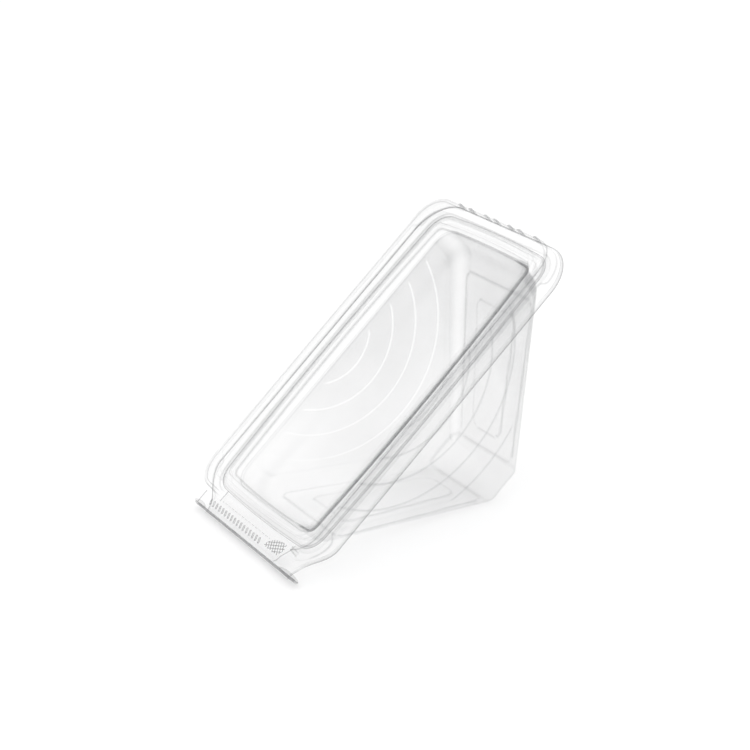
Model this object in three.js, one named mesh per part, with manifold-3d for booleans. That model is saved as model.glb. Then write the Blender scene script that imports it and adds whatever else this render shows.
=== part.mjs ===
// Hinged clear wedge pack for one diagonally cut sandwich, closed and empty.
// Units are millimetres. The pack is drawn in its mould frame, where +X runs along the long
// slope away from the hinge, +Y runs across the pack, +Z points out through the lid, and the
// origin is the middle of the flange. The last lines tip it onto its lower leg, as it stands.
import * as THREE from "three";
import * as BufferGeometryUtils from "three/addons/utils/BufferGeometryUtils.js";
import Module from "manifold-3d";

const wasm = await Module();
wasm.setup();

// Sheet and clearances
const SHEET = 0.45;
const GAP = 0.3;
const PIECE_OVERLAP = 0.05;
const LEAF_SET_IN = 0.03;

// Tray body
const OPENING_LENGTH = 162;
const OPENING_WIDTH = 73.6;
const OPENING_RADIUS = 9;
const OPENING_ROUND = 0.8;
const BODY_DEPTH = 80.2;
const APEX_LENGTH = 21.8;
const APEX_WIDTH = 57;
const APEX_RADIUS = 4.5;
const LEG_ANGLE = THREE.MathUtils.degToRad(44);
const END_BAND_DEPTH = 13;

// Stepped arcs on the two side walls
const ARC_COUNT = 5;
const ARC_FIRST_RADIUS = 26;
const ARC_PITCH = 13;
const ARC_CENTRE_HEIGHT = 17;
const ARC_STEP = 0.45;
const ARC_TOP_MARGIN = 3;
const ARC_EDGE_MARGIN = 3.5;
const ARC_SEGMENTS = 22;

// Stepped panels on the two legs
const PANEL_STEP = 0.7;
const PANEL_START = 1.6;
const PANEL_END = 86;
const PANEL_SIDE_MARGIN = 6.6;
const PANEL_RADIUS = 4;
const INNER_PANEL_START = 10.5;
const INNER_PANEL_END = 76;
const INNER_PANEL_SIDE_MARGIN = 17.5;
const INNER_PANEL_RADIUS = 5;

// Perimeter ridge of the tray
const RIDGE_LENGTH = 184;
const RIDGE_WIDTH = 105;
const RIDGE_RADIUS = 14;
const RIDGE_HEIGHT = 8.5;
const RIDGE_CREST = 2.1;
const RIDGE_WALL_DRAFT = 1;
const RIDGE_BOW = 1.2;
const SIDE_STEP_HEIGHT = 4.6;
const SIDE_STEP_OUT = 1.8;
const SIDE_STEP_TREAD = 0.9;
const PAD_BULGE = 0.8;

// Outer flange of the tray
const FLANGE_WIDTH = 116;
const FLANGE_END_OUT = 1.8;
const FLANGE_RADIUS = 20;
const FLANGE_EDGE_WIDTH = 0.5;
const FLANGE_LIP_DROP = 1.2;
const FLANGE_LIP_OUT = 0.3;
const CORNER_SHELF_HEIGHT = 0.4;

// Seal bead of the tray, which stands inside the raised rim of the lid
const SEAL_HEIGHT = 4.5;
const SEAL_CREST = 1.1;
const SEAL_DRAFT = 0.5;
const SEAL_CLEARANCE = 0.5;

// Lid
const LID_LENGTH = 173.2;
const LID_WIDTH = 92.4;
const LID_RADIUS = 10;
const LID_BOW_LONG = 1.8;
const LID_BOW_SHORT = 1;
const LID_FLANGE_OUT = 0.9;
const LID_RIM_HEIGHT = 8.4;
const LID_RIM_WIDTH = 3.6;
const LID_RIM_ROUND = 0.5;
const LID_WALL_DRAFT = 0.8;
const WINDOW_LEVEL = 1.5;
const WINDOW_STEP_RISE = 2.3;
const WINDOW_STEP_TREAD = 0.6;
const WINDOW_STEP_DRAFT = 0.7;
const WINDOW_WALL_DRAFT = 1.7;
const WINDOW_RADIUS = 3.5;
const WINDOW_BOW_LONG = 2.4;
const WINDOW_BOW_SHORT = 1.5;

// Fold, hinge leaves and tear strip
const FOLD_DISTANCE = 8.5;
const FOLD_RADIUS = 1.3;
const FOLD_LENGTH = 100;
const FOLD_SEGMENTS = 10;
const LOWER_LEAF_WIDTH = 82;
const LOWER_LEAF_DIP = 1.4;
const LOWER_LEAF_EDGE = 1.6;
const STRIP_FAR_END = 48.5;
const STRIP_NEAR_END = 26;
const STRIP_EDGE = 1.6;
const NECK_WIDTH = 68;
const TEAR_LINE = 0.9;
const SLIT_LENGTH = 2.2;
const SLIT_WIDTH = 0.3;
const SLIT_PITCH = 3.4;
const MARK_COUNT = 17;
const MARK_LENGTH = 3;
const MARK_WIDTH = 0.9;
const MARK_HEIGHT = 0.3;
const MARK_PITCH = 3.1;
const MARK_FIRST = 39;
const MARK_SLANT = THREE.MathUtils.degToRad(28);
const TAB_REACH = 3;
const TAB_SLOPE = 4.5;
const KNURL_PITCH = 1.9;
const KNURL_SIZE = 0.8;
const KNURL_HEIGHT = 0.35;
const KNURL_LENGTH = 13;

// Lock flutes on the end wall of the ridge
const FLUTE_PLACES = [-33, -20, -12, 0, 8, 21, 30];
const FLUTE_RADIUS = 1.3;
const FLUTE_HEIGHT = 5.2;

// Outline steps, the same for every ring so that rings can be joined point to point
const CORNER_STEPS = 5;
const PLATE_CURVE_STEPS = 3;
const LONG_STOPS = [-1, -0.94, -0.66, -0.37, -0.31, 0, 0.31, 0.37, 0.66, 0.94, 1];
const SHORT_STOPS = [-1, -0.5, 0, 0.5, 1];
const PAD_END = 0.33;
const RIDGE_END_RAMP = 0.2;
const LEAF_BLEND = 0.4;
const WALL_SPREAD = 0.15;
const SHELF_SPREAD = 0.45;
const FLAT_VERTEX_TERM = 1e-3;

// Derived sizes
const HALF = 0.5;
const WALL_DRAFT_RATE = HALF * (OPENING_WIDTH - APEX_WIDTH) / BODY_DEPTH;
const LEG_RUN = (BODY_DEPTH - END_BAND_DEPTH) / Math.tan(LEG_ANGLE);
const KNEE_HALF_LENGTH = APEX_LENGTH * HALF + LEG_RUN;
const BAND_DRAFT_RATE = (OPENING_LENGTH * HALF - KNEE_HALF_LENGTH) / END_BAND_DEPTH;
const HINGE_END = -RIDGE_LENGTH * HALF;
const FOLD_X = HINGE_END - FOLD_DISTANCE;
const LID_FLANGE_TOP = GAP + SHEET;
const FOLD_Z = LID_FLANGE_TOP - FOLD_RADIUS;
const LOWER_LEAF_TOP = FOLD_Z - FOLD_RADIUS - GAP;
const LOWER_LEAF_END = FOLD_X - LOWER_LEAF_EDGE;

function clearSheetMaterial(name, color, roughness) {
  const material = new THREE.MeshStandardMaterial({ color, roughness, metalness: 0 });
  material.name = name;
  material.transparent = true;
  material.opacity = 0.3;
  return material;
}

// Outline of one ring: straight sides with stops, and elliptical or S-shaped corners
function outlinePoints(ring) {
  const points = [];
  const corners = [
    { sx: 1, sy: -1 }, { sx: 1, sy: 1 }, { sx: -1, sy: 1 }, { sx: -1, sy: -1 },
  ];
  corners.forEach((corner) => {
    points.push(...cornerPoints(ring, corner));
    points.push(...sidePoints(ring, corner));
  });
  return points;
}

function smooth(t) {
  return HALF * (1 - Math.cos(Math.PI * t));
}

function arcPoint(ring, sx, sy, t) {
  const angle = t * Math.PI * HALF;
  const x = ring.halfLength - ring.radius + ring.radius * Math.cos(angle);
  const y = ring.halfWidth - ring.radius + ring.radius * Math.sin(angle);
  return new THREE.Vector3(sx * x, sy * y, ring.height);
}

// t is 0 at the short end of the pack and 1 at the long side
function cornerPoint(ring, sx, sy, t) {
  const point = arcPoint(ring, sx, sy, t);
  const isHinge = sx < 0;
  if (ring.outer === undefined) {
    if (ring.opensAtHinge && isHinge) {
      point.z *= Math.min(1, t / RIDGE_END_RAMP);
    }
    return point;
  }
  const { spread, hingeSpread, cornerHeight, hingeHeight, out } = ring.outer;
  if (!isHinge) {
    point.lerp(arcPoint(flangeOutline(out), sx, sy, t), spread);
    point.z = cornerHeight;
    return point;
  }
  const spreadShare = Math.min(1, t / RIDGE_END_RAMP);
  const heightShare = THREE.MathUtils.clamp((t - RIDGE_END_RAMP) / LEAF_BLEND, 0, 1);
  point.lerp(hingeCurvePoint(sy, t, out), THREE.MathUtils.lerp(hingeSpread, spread, spreadShare));
  point.z = THREE.MathUtils.lerp(hingeHeight, cornerHeight, smooth(heightShare));
  return point;
}

// S-shaped edge from the corner of the lower leaf to the long side, moved out square to itself
function hingeCurvePoint(sy, t, out) {
  const leaf = LOWER_LEAF_WIDTH * HALF;
  const flange = FLANGE_WIDTH * HALF;
  const run = HINGE_END + RIDGE_RADIUS - LOWER_LEAF_END;
  const rise = (flange - leaf) * Math.PI * HALF * Math.sin(Math.PI * t);
  const outward = new THREE.Vector2(-rise, run).normalize().multiplyScalar(out);
  const cornerShift = t === 0 ? -out : 0;
  const x = LOWER_LEAF_END + run * t + outward.x + cornerShift;
  const y = THREE.MathUtils.lerp(leaf, flange, smooth(t)) + outward.y;
  return new THREE.Vector3(x, sy * y, 0);
}

function flangeOutline(out) {
  return {
    halfLength: RIDGE_LENGTH * HALF + FLANGE_END_OUT + out,
    halfWidth: FLANGE_WIDTH * HALF + out,
    radius: FLANGE_RADIUS + out,
    height: 0,
  };
}

function cornerPoints(ring, { sx, sy }) {
  const points = [];
  const forward = sx * sy > 0;
  for (let i = 0; i <= CORNER_STEPS; i += 1) {
    const t = forward ? i / CORNER_STEPS : 1 - i / CORNER_STEPS;
    points.push(cornerPoint(ring, sx, sy, t));
  }
  return points;
}

// The inner stops of the side that follows a corner, walking round the outline
function sidePoints(ring, { sx, sy }) {
  const along = sx * sy > 0;
  const stops = along ? LONG_STOPS : SHORT_STOPS;
  const t = along ? 1 : 0;
  const start = cornerPoint(ring, sx, sy, t);
  const end = along ? cornerPoint(ring, -sx, sy, t) : cornerPoint(ring, sx, -sy, t);
  return stops.slice(1, -1).map((stop) => {
    const point = start.clone().lerp(end, HALF * (1 + stop));
    if (along) {
      shapeLongSide(ring, point, sy, stop);
    } else {
      shapeShortSide(ring, point, sx, stop);
    }
    return point;
  });
}

function shapeLongSide(ring, point, sy, stop) {
  if (ring.outer === undefined) {
    point.y += sy * (ring.bowLong ?? 0) * (1 - stop * stop);
    return;
  }
  const { sideWidth, sideHeight, padOut, padRise } = ring.outer;
  const onPad = Math.abs(stop) < PAD_END;
  point.y = sy * (sideWidth + (onPad ? padOut : 0));
  point.z = sideHeight + (onPad ? padRise : 0);
}

function shapeShortSide(ring, point, sx, stop) {
  point.x += sx * (ring.bowShort ?? 0) * (1 - stop * stop);
  if (ring.outer !== undefined && sx > 0) {
    point.z = ring.outer.endHeight;
  }
}

// Upper face of a formed sheet: rings from the middle outwards, closed by a cap in the middle
function sheetFace(rings) {
  const loops = rings.map(outlinePoints);
  const count = loops[0].length;
  const triangles = [];
  for (let ring = 0; ring < loops.length - 1; ring += 1) {
    for (let i = 0; i < count; i += 1) {
      const a = ring * count + i;
      const b = ring * count + (i + 1) % count;
      triangles.push([a, b + count, b], [a, a + count, b + count]);
    }
  }
  const contour = loops[0].map((point) => new THREE.Vector2(point.x, point.y));
  THREE.ShapeUtils.triangulateShape(contour, []).forEach((cap) => triangles.push(cap));
  return { points: loops.flat(), triangles, count };
}

// The move that puts each vertex one sheet thickness under every face that meets there
function thicknessMoves({ points, triangles }) {
  const sums = points.map(() => ({ matrix: new THREE.Matrix3().set(0, 0, 0, 0, 0, 0, 0, 0, 0),
    target: new THREE.Vector3() }));
  triangles.forEach((triangle) => {
    const [a, b, c] = triangle.map((index) => points[index]);
    const normal = new THREE.Triangle(a, b, c).getNormal(new THREE.Vector3());
    triangle.forEach((index, corner) => {
      const before = points[triangle[(corner + 2) % 3]].clone().sub(points[index]);
      const after = points[triangle[(corner + 1) % 3]].clone().sub(points[index]);
      addPlane(sums[index], normal, before.angleTo(after));
    });
  });
  return sums.map(({ matrix, target }) => (
    target.applyMatrix3(matrix.clone().invert())
  ));
}

function addPlane(sum, normal, weight) {
  const { x, y, z } = normal;
  const products = [x * x, x * y, x * z, x * y, y * y, y * z, x * z, y * z, z * z];
  products.forEach((product, index) => {
    const diagonal = index % 4 === 0 ? FLAT_VERTEX_TERM : 0;
    sum.matrix.elements[index] += weight * (product + diagonal);
  });
  sum.target.addScaledVector(normal, -weight * SHEET * (1 + FLAT_VERTEX_TERM));
}

// Closed body of a formed sheet, from its upper face
function sheetSolid(rings) {
  const face = sheetFace(rings);
  const moves = thicknessMoves(face);
  const lower = face.points.map((point, index) => point.clone().add(moves[index]));
  const total = face.points.length;
  const indices = [];
  face.triangles.forEach(([a, b, c]) => {
    indices.push(a, b, c, a + total, c + total, b + total);
  });
  for (let i = total - face.count; i < total; i += 1) {
    const next = i + 1 < total ? i + 1 : total - face.count;
    indices.push(i, next + total, next, i, i + total, next + total);
  }
  const positions = [...face.points, ...lower].flatMap((point) => point.toArray());
  const geometry = new THREE.BufferGeometry();
  geometry.setAttribute("position", new THREE.Float32BufferAttribute(positions, 3));
  geometry.setIndex(indices);
  return toSolid(geometry);
}

function toSolid(geometry) {
  const bare = geometry.clone();
  bare.deleteAttribute("normal");
  bare.deleteAttribute("uv");
  const merged = BufferGeometryUtils.mergeVertices(bare, 1e-4);
  const vertProperties = Float32Array.from(merged.attributes.position.array);
  const triVerts = Uint32Array.from(merged.index.array);
  return new wasm.Manifold(new wasm.Mesh({ numProp: 3, vertProperties, triVerts }));
}

function toGeometry(solid) {
  const mesh = solid.getMesh();
  const geometry = new THREE.BufferGeometry();
  geometry.setAttribute("position", new THREE.Float32BufferAttribute(mesh.vertProperties, 3));
  geometry.setIndex(Array.from(mesh.triVerts));
  const flat = geometry.toNonIndexed();
  flat.computeVertexNormals();
  return flat;
}

// Tray body rings on the inner face, from the apex up to the opening
function bodyRings() {
  const floor = -BODY_DEPTH + SHEET;
  const legShift = SHEET / Math.sin(LEG_ANGLE);
  const legHalf = (z) => APEX_LENGTH * HALF + (z + BODY_DEPTH) / Math.tan(LEG_ANGLE) - legShift;
  const bandHalf = (z) => OPENING_LENGTH * HALF + BAND_DRAFT_RATE * z - SHEET;
  const sideHalf = (z) => OPENING_WIDTH * HALF + WALL_DRAFT_RATE * z - SHEET;
  const knee = (bandHalf(0) - legHalf(0)) / (1 / Math.tan(LEG_ANGLE) - BAND_DRAFT_RATE);
  const top = -OPENING_ROUND;
  const ring = (height, halfLength, radius) => (
    { height, halfLength, halfWidth: sideHalf(height), radius }
  );
  return [
    ring(floor, legHalf(floor), APEX_RADIUS),
    ring(knee, legHalf(knee), OPENING_RADIUS),
    ring(top, bandHalf(top), OPENING_RADIUS),
  ];
}

// Flange rings on the upper face, from the opening out to the crest of the ridge
function flangeRings() {
  const sealOut = SHEET + SEAL_CLEARANCE;
  const sealRing = (inward, height) => ({
    height,
    halfLength: LID_LENGTH * HALF - sealOut - inward,
    halfWidth: LID_WIDTH * HALF - sealOut - inward,
    radius: LID_RADIUS - sealOut,
    bowLong: LID_BOW_LONG,
    bowShort: LID_BOW_SHORT,
  });
  const ridgeRing = (inward, height, bowLong) => ({
    height,
    bowLong,
    halfLength: RIDGE_LENGTH * HALF - inward,
    halfWidth: RIDGE_WIDTH * HALF - inward,
    radius: RIDGE_RADIUS - inward,
    opensAtHinge: true,
  });
  const opening = {
    height: 0,
    halfLength: OPENING_LENGTH * HALF + OPENING_ROUND - SHEET,
    halfWidth: OPENING_WIDTH * HALF + OPENING_ROUND - SHEET,
    radius: OPENING_RADIUS + OPENING_ROUND,
  };
  return [
    opening,
    sealRing(SEAL_CREST + 2 * SEAL_DRAFT, 0),
    sealRing(SEAL_CREST + SEAL_DRAFT, SEAL_HEIGHT),
    sealRing(SEAL_DRAFT, SEAL_HEIGHT),
    sealRing(0, 0),
    ridgeRing(RIDGE_CREST + RIDGE_WALL_DRAFT, 0, RIDGE_BOW),
    ridgeRing(RIDGE_CREST, RIDGE_HEIGHT, RIDGE_BOW * HALF),
    ridgeRing(0, RIDGE_HEIGHT, 0),
  ];
}

// Outer wall of the ridge with its step, then the flange, its edge and the turned-down lip
function outerRings() {
  const flange = FLANGE_WIDTH * HALF;
  const reach = HINGE_END - LOWER_LEAF_END;
  const stepOut = RIDGE_WIDTH * HALF + SIDE_STEP_OUT;
  const ring = (outer) => ({
    halfLength: RIDGE_LENGTH * HALF,
    halfWidth: RIDGE_WIDTH * HALF,
    radius: RIDGE_RADIUS,
    height: 0,
    outer: { out: 0, padOut: 0, padRise: 0, ...outer },
  });
  const edgeRing = (out, height, hingeHeight) => ring({
    out,
    hingeHeight,
    spread: 1,
    hingeSpread: 1,
    cornerHeight: height,
    endHeight: height,
    sideWidth: flange + out,
    sideHeight: height,
  });
  return [
    ring({ spread: WALL_SPREAD, hingeSpread: LOWER_LEAF_DIP / reach,
      cornerHeight: CORNER_SHELF_HEIGHT, hingeHeight: 0, endHeight: SIDE_STEP_HEIGHT,
      sideWidth: stepOut, sideHeight: SIDE_STEP_HEIGHT, padOut: PAD_BULGE, padRise: PAD_BULGE }),
    ring({ spread: SHELF_SPREAD, hingeSpread: (FOLD_DISTANCE - FOLD_RADIUS - GAP) / reach,
      cornerHeight: CORNER_SHELF_HEIGHT, hingeHeight: LOWER_LEAF_TOP,
      endHeight: SIDE_STEP_HEIGHT * HALF,
      sideWidth: stepOut + SIDE_STEP_TREAD, sideHeight: SIDE_STEP_HEIGHT - GAP,
      padOut: PAD_BULGE * HALF, padRise: -PAD_BULGE }),
    edgeRing(-FLANGE_EDGE_WIDTH, CORNER_SHELF_HEIGHT, LOWER_LEAF_TOP),
    edgeRing(0, 0, LOWER_LEAF_TOP),
    edgeRing(FLANGE_LIP_OUT, -FLANGE_LIP_DROP, LOWER_LEAF_TOP),
  ];
}

function traySkin() {
  return sheetSolid([...bodyRings(), ...flangeRings(), ...outerRings()]);
}

// A plate with rounded corners and straight sides that spread, in the plane of a leg:
// local X runs from the apex up the leg, local Y across, local Z out of the pack
function panelShape(start, end, sideMargin, radius, grow) {
  const halfAt = (distance) => {
    const height = -BODY_DEPTH + distance * Math.sin(LEG_ANGLE);
    return OPENING_WIDTH * HALF + WALL_DRAFT_RATE * height - sideMargin + grow;
  };
  const low = start - grow;
  const high = end + grow;
  const round = radius + grow;
  const shape = new THREE.Shape();
  const corner = (x, y, startAngle) => {
    shape.absarc(x, y, round, startAngle, startAngle + Math.PI * HALF, false);
  };
  corner(low + round, -halfAt(low) + round, Math.PI);
  corner(high - round, -halfAt(high) + round, Math.PI * 1.5);
  corner(high - round, halfAt(high) - round, 0);
  corner(low + round, halfAt(low) - round, Math.PI * HALF);
  return shape;
}

function legPlate(side, shape, from, to) {
  const plate = new THREE.ExtrudeGeometry(shape, {
    depth: to - from, bevelEnabled: false, curveSegments: PLATE_CURVE_STEPS,
  });
  plate.translate(0, 0, from);
  const along = new THREE.Vector3(side * Math.cos(LEG_ANGLE), 0, Math.sin(LEG_ANGLE));
  const outward = new THREE.Vector3(side * Math.sin(LEG_ANGLE), 0, -Math.cos(LEG_ANGLE));
  const across = new THREE.Vector3().crossVectors(outward, along);
  const frame = new THREE.Matrix4().makeBasis(along, across, outward);
  frame.setPosition(side * APEX_LENGTH * HALF, 0, -BODY_DEPTH);
  plate.applyMatrix4(frame);
  return toSolid(plate);
}

// A panel pushed in by a step keeps the sheet thickness: metal is added inside, then cut outside
function pressLegPanel(tray, side, bounds, depth) {
  const room = BODY_DEPTH * HALF;
  const { start, end, margin, radius } = bounds;
  const outerShape = panelShape(start, end, margin, radius, 0);
  const innerShape = panelShape(start, end, margin, radius, SHEET);
  const backing = legPlate(side, innerShape, -depth - SHEET, -PIECE_OVERLAP);
  const recess = legPlate(side, outerShape, -depth, room);
  return tray.add(backing).subtract(recess);
}

function pressPanels(tray) {
  const outer = { start: PANEL_START, end: PANEL_END, margin: PANEL_SIDE_MARGIN,
    radius: PANEL_RADIUS };
  const inner = { start: INNER_PANEL_START, end: INNER_PANEL_END,
    margin: INNER_PANEL_SIDE_MARGIN, radius: INNER_PANEL_RADIUS };
  return [-1, 1].reduce((body, side) => {
    const once = pressLegPanel(body, side, outer, PANEL_STEP);
    return pressLegPanel(once, side, inner, 2 * PANEL_STEP);
  }, tray);
}

// The flat zone of a side wall, with a margin to the corners and to the flange
function wallZoneShape(grow) {
  const margin = ARC_EDGE_MARGIN - grow;
  const legHalf = (z) => APEX_LENGTH * HALF + (z + BODY_DEPTH) / Math.tan(LEG_ANGLE)
    - (margin + APEX_RADIUS) / Math.sin(LEG_ANGLE);
  const top = -ARC_TOP_MARGIN + grow;
  const bottom = -BODY_DEPTH + margin + APEX_RADIUS;
  const bandHalf = OPENING_LENGTH * HALF - OPENING_RADIUS - margin;
  const bandZ = (bandHalf - legHalf(0)) * Math.tan(LEG_ANGLE);
  const shape = new THREE.Shape();
  shape.moveTo(-legHalf(bottom), bottom);
  shape.lineTo(legHalf(bottom), bottom);
  shape.lineTo(bandHalf, bandZ);
  shape.lineTo(bandHalf, top);
  shape.lineTo(-bandHalf, top);
  shape.lineTo(-bandHalf, bandZ);
  shape.closePath();
  return shape;
}

function arcShape(radius) {
  const shape = new THREE.Shape();
  shape.absarc(0, ARC_CENTRE_HEIGHT, radius, 0, Math.PI * 2, false);
  return shape;
}

// Plate standing in the plane of a side wall, from one depth under its outer face to another
function wallPlate(side, shape, from, to) {
  const plate = new THREE.ExtrudeGeometry(shape, {
    depth: to - from, bevelEnabled: false, curveSegments: ARC_SEGMENTS,
  });
  plate.translate(0, 0, from);
  const draft = Math.atan(WALL_DRAFT_RATE);
  const up = new THREE.Vector3(0, side * Math.sin(draft), Math.cos(draft));
  const outward = new THREE.Vector3(0, side * Math.cos(draft), -Math.sin(draft));
  const along = new THREE.Vector3().crossVectors(up, outward);
  const frame = new THREE.Matrix4().makeBasis(along, up, outward);
  frame.setPosition(0, side * OPENING_WIDTH * HALF, 0);
  plate.applyMatrix4(frame);
  return toSolid(plate);
}

function pressArcs(tray) {
  const reach = OPENING_WIDTH * HALF;
  let body = tray;
  [-1, 1].forEach((side) => {
    for (let index = 0; index < ARC_COUNT; index += 1) {
      const radius = ARC_FIRST_RADIUS + ARC_PITCH * (ARC_COUNT - 1 - index);
      const depth = ARC_STEP * (index + 1);
      const zoneIn = wallPlate(side, wallZoneShape(SHEET), -depth - SHEET, -PIECE_OVERLAP);
      const zoneOut = wallPlate(side, wallZoneShape(0), -depth, reach);
      const discIn = wallPlate(side, arcShape(radius + SHEET), -depth - SHEET, -PIECE_OVERLAP);
      const discOut = wallPlate(side, arcShape(radius), -depth, reach);
      body = body.add(zoneIn.intersect(discIn)).subtract(zoneOut.intersect(discOut));
    }
  });
  return body;
}

// Half-round lock flutes, hollow from inside, on the end wall away from the hinge
function addFlutes(tray) {
  const wallX = RIDGE_LENGTH * HALF;
  const bottom = RIDGE_HEIGHT - SHEET - FLUTE_HEIGHT;
  const flute = (y, radius, rise) => {
    const post = new THREE.CylinderGeometry(radius, radius, FLUTE_HEIGHT, CORNER_STEPS * 2);
    post.rotateX(Math.PI * HALF);
    post.translate(wallX, y, bottom + FLUTE_HEIGHT * HALF - rise);
    return toSolid(post);
  };
  return FLUTE_PLACES.reduce((body, y) => (
    body.add(flute(y, FLUTE_RADIUS, 0)).subtract(flute(y, FLUTE_RADIUS - SHEET, SHEET))
  ), tray);
}

function buildTray() {
  const shaped = addFlutes(pressArcs(pressPanels(traySkin())));
  const material = clearSheetMaterial("clear_sheet_tray", 0xe9eded, 0.08);
  const mesh = new THREE.Mesh(toGeometry(shaped), material);
  mesh.name = "tray";
  return mesh;
}

// Lid rings on the upper face, from the window out to the lid's own flange
function lidRings() {
  const rimTop = LID_RIM_HEIGHT;
  const rimRing = (inward, height) => ({
    height,
    halfLength: LID_LENGTH * HALF - inward,
    halfWidth: LID_WIDTH * HALF - inward,
    radius: LID_RADIUS - inward,
    bowLong: LID_BOW_LONG,
    bowShort: LID_BOW_SHORT,
  });
  const windowOut = LID_WALL_DRAFT + LID_RIM_WIDTH;
  const windowRing = (inward, height) => ({
    height,
    halfLength: LID_LENGTH * HALF - windowOut - inward,
    halfWidth: LID_WIDTH * HALF - windowOut - inward,
    radius: WINDOW_RADIUS + WINDOW_WALL_DRAFT - Math.min(inward, WINDOW_WALL_DRAFT),
    bowLong: WINDOW_BOW_LONG,
    bowShort: WINDOW_BOW_SHORT,
  });
  const stepTop = WINDOW_LEVEL + WINDOW_STEP_RISE;
  const stepInner = WINDOW_WALL_DRAFT + WINDOW_STEP_TREAD;
  return [
    windowRing(stepInner + WINDOW_STEP_DRAFT, WINDOW_LEVEL),
    windowRing(stepInner, stepTop),
    windowRing(WINDOW_WALL_DRAFT, stepTop + GAP),
    windowRing(0, rimTop - LID_RIM_ROUND),
    windowRing(-LID_RIM_ROUND, rimTop),
    rimRing(LID_WALL_DRAFT + LID_RIM_ROUND, rimTop),
    rimRing(LID_WALL_DRAFT, rimTop - LID_RIM_ROUND),
    rimRing(0, LID_FLANGE_TOP),
    rimRing(-LID_FLANGE_OUT, LID_FLANGE_TOP),
  ];
}

function lidSkin() {
  return sheetSolid(lidRings());
}

function stripPlate(shape, from, to) {
  const plate = new THREE.ExtrudeGeometry(shape, {
    depth: to - from, bevelEnabled: false, curveSegments: PLATE_CURVE_STEPS,
  });
  plate.translate(0, 0, from);
  return toSolid(plate);
}

// Upper leaf with the tear strip and the pull tab, as one plate
function upperLeafShape() {
  const neck = NECK_WIDTH * HALF;
  const lidEdge = -LID_LENGTH * HALF - LID_FLANGE_OUT * HALF;
  const stripEdge = HINGE_END - STRIP_EDGE;
  const tabY = -STRIP_NEAR_END - TAB_SLOPE;
  const shape = new THREE.Shape();
  shape.moveTo(FOLD_X, STRIP_FAR_END);
  shape.lineTo(FOLD_X, -STRIP_NEAR_END);
  shape.quadraticCurveTo(FOLD_X, tabY, FOLD_X + TAB_SLOPE, tabY);
  shape.lineTo(HINGE_END + TEAR_LINE, -neck + SHEET);
  shape.lineTo(lidEdge, -neck);
  shape.quadraticCurveTo(lidEdge - 2 * LID_BOW_SHORT, 0, lidEdge, neck);
  shape.lineTo(stripEdge, neck);
  shape.lineTo(stripEdge, STRIP_FAR_END);
  shape.closePath();
  return shape;
}

// Rolled fold: half a tube along the edge of the upper leaf
function foldBead() {
  const shape = new THREE.Shape();
  shape.absarc(0, 0, FOLD_RADIUS, Math.PI * HALF, Math.PI * 1.5, false);
  shape.absarc(0, 0, FOLD_RADIUS - SHEET, Math.PI * 1.5, Math.PI * HALF, true);
  shape.closePath();
  const bead = new THREE.ExtrudeGeometry(shape, {
    depth: FOLD_LENGTH, bevelEnabled: false, curveSegments: FOLD_SEGMENTS,
  });
  bead.translate(0, 0, -FOLD_LENGTH * HALF);
  bead.rotateX(Math.PI * HALF);
  bead.translate(FOLD_X + PIECE_OVERLAP, 0, FOLD_Z);
  return toSolid(bead);
}

function tearSlits() {
  const slits = [];
  const last = NECK_WIDTH * HALF - SLIT_PITCH;
  const first = KNURL_LENGTH + SLIT_PITCH - STRIP_NEAR_END - TAB_SLOPE;
  for (let y = first; y <= last; y += SLIT_PITCH) {
    const slit = new THREE.BoxGeometry(SLIT_WIDTH, SLIT_LENGTH, FOLD_RADIUS);
    slit.translate(HINGE_END - TEAR_LINE, y, LID_FLANGE_TOP);
    slits.push(toSolid(slit));
  }
  return slits;
}

// Plain slanted bars along the strip
function stripMarks() {
  const marks = [];
  for (let index = 0; index < MARK_COUNT; index += 1) {
    const bar = new THREE.BoxGeometry(MARK_LENGTH, MARK_WIDTH, MARK_HEIGHT + SHEET * HALF);
    bar.rotateZ(MARK_SLANT);
    const x = (FOLD_X + HINGE_END) * HALF - TEAR_LINE * HALF;
    const z = LID_FLANGE_TOP + (MARK_HEIGHT - SHEET * HALF) * HALF;
    bar.translate(x, MARK_FIRST - index * MARK_PITCH, z);
    marks.push(toSolid(bar));
  }
  return marks;
}

// Grip points on the pull tab, in staggered rows
function knurlPoints() {
  const points = [];
  const rows = Math.floor(KNURL_LENGTH / KNURL_PITCH);
  for (let row = 0; row < rows; row += 1) {
    const y = -STRIP_NEAR_END - TAB_SLOPE + KNURL_PITCH * (row + 1);
    const reach = TAB_REACH - row * KNURL_PITCH * HALF;
    for (let x = 0; x < reach + TAB_SLOPE; x += KNURL_PITCH) {
      const cone = new THREE.ConeGeometry(KNURL_SIZE, KNURL_HEIGHT + SHEET * HALF, 4);
      cone.rotateX(Math.PI * HALF);
      const stagger = (row % 2) * KNURL_PITCH * HALF;
      const z = LID_FLANGE_TOP + (KNURL_HEIGHT - SHEET * HALF) * HALF;
      cone.translate(HINGE_END - TAB_SLOPE + stagger + x, y, z);
      points.push(toSolid(cone));
    }
  }
  return points;
}

function buildLid() {
  const leaf = stripPlate(upperLeafShape(), GAP + LEAF_SET_IN, LID_FLANGE_TOP - LEAF_SET_IN);
  let body = lidSkin().add(leaf).add(foldBead());
  [...stripMarks(), ...knurlPoints()].forEach((bump) => {
    body = body.add(bump);
  });
  tearSlits().forEach((slit) => {
    body = body.subtract(slit);
  });
  const material = clearSheetMaterial("clear_sheet_lid", 0xeef1f1, 0.06);
  const mesh = new THREE.Mesh(toGeometry(body), material);
  mesh.name = "lid";
  return mesh;
}

// The pack stands on the edge of its lower leaf and on the lower edge of its apex
function standingTilt() {
  const leafX = LOWER_LEAF_END - FLANGE_LIP_OUT;
  const leafZ = LOWER_LEAF_TOP - SHEET;
  const apexX = -APEX_LENGTH * HALF;
  return Math.atan2(BODY_DEPTH + leafZ, apexX - leafX);
}

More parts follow.
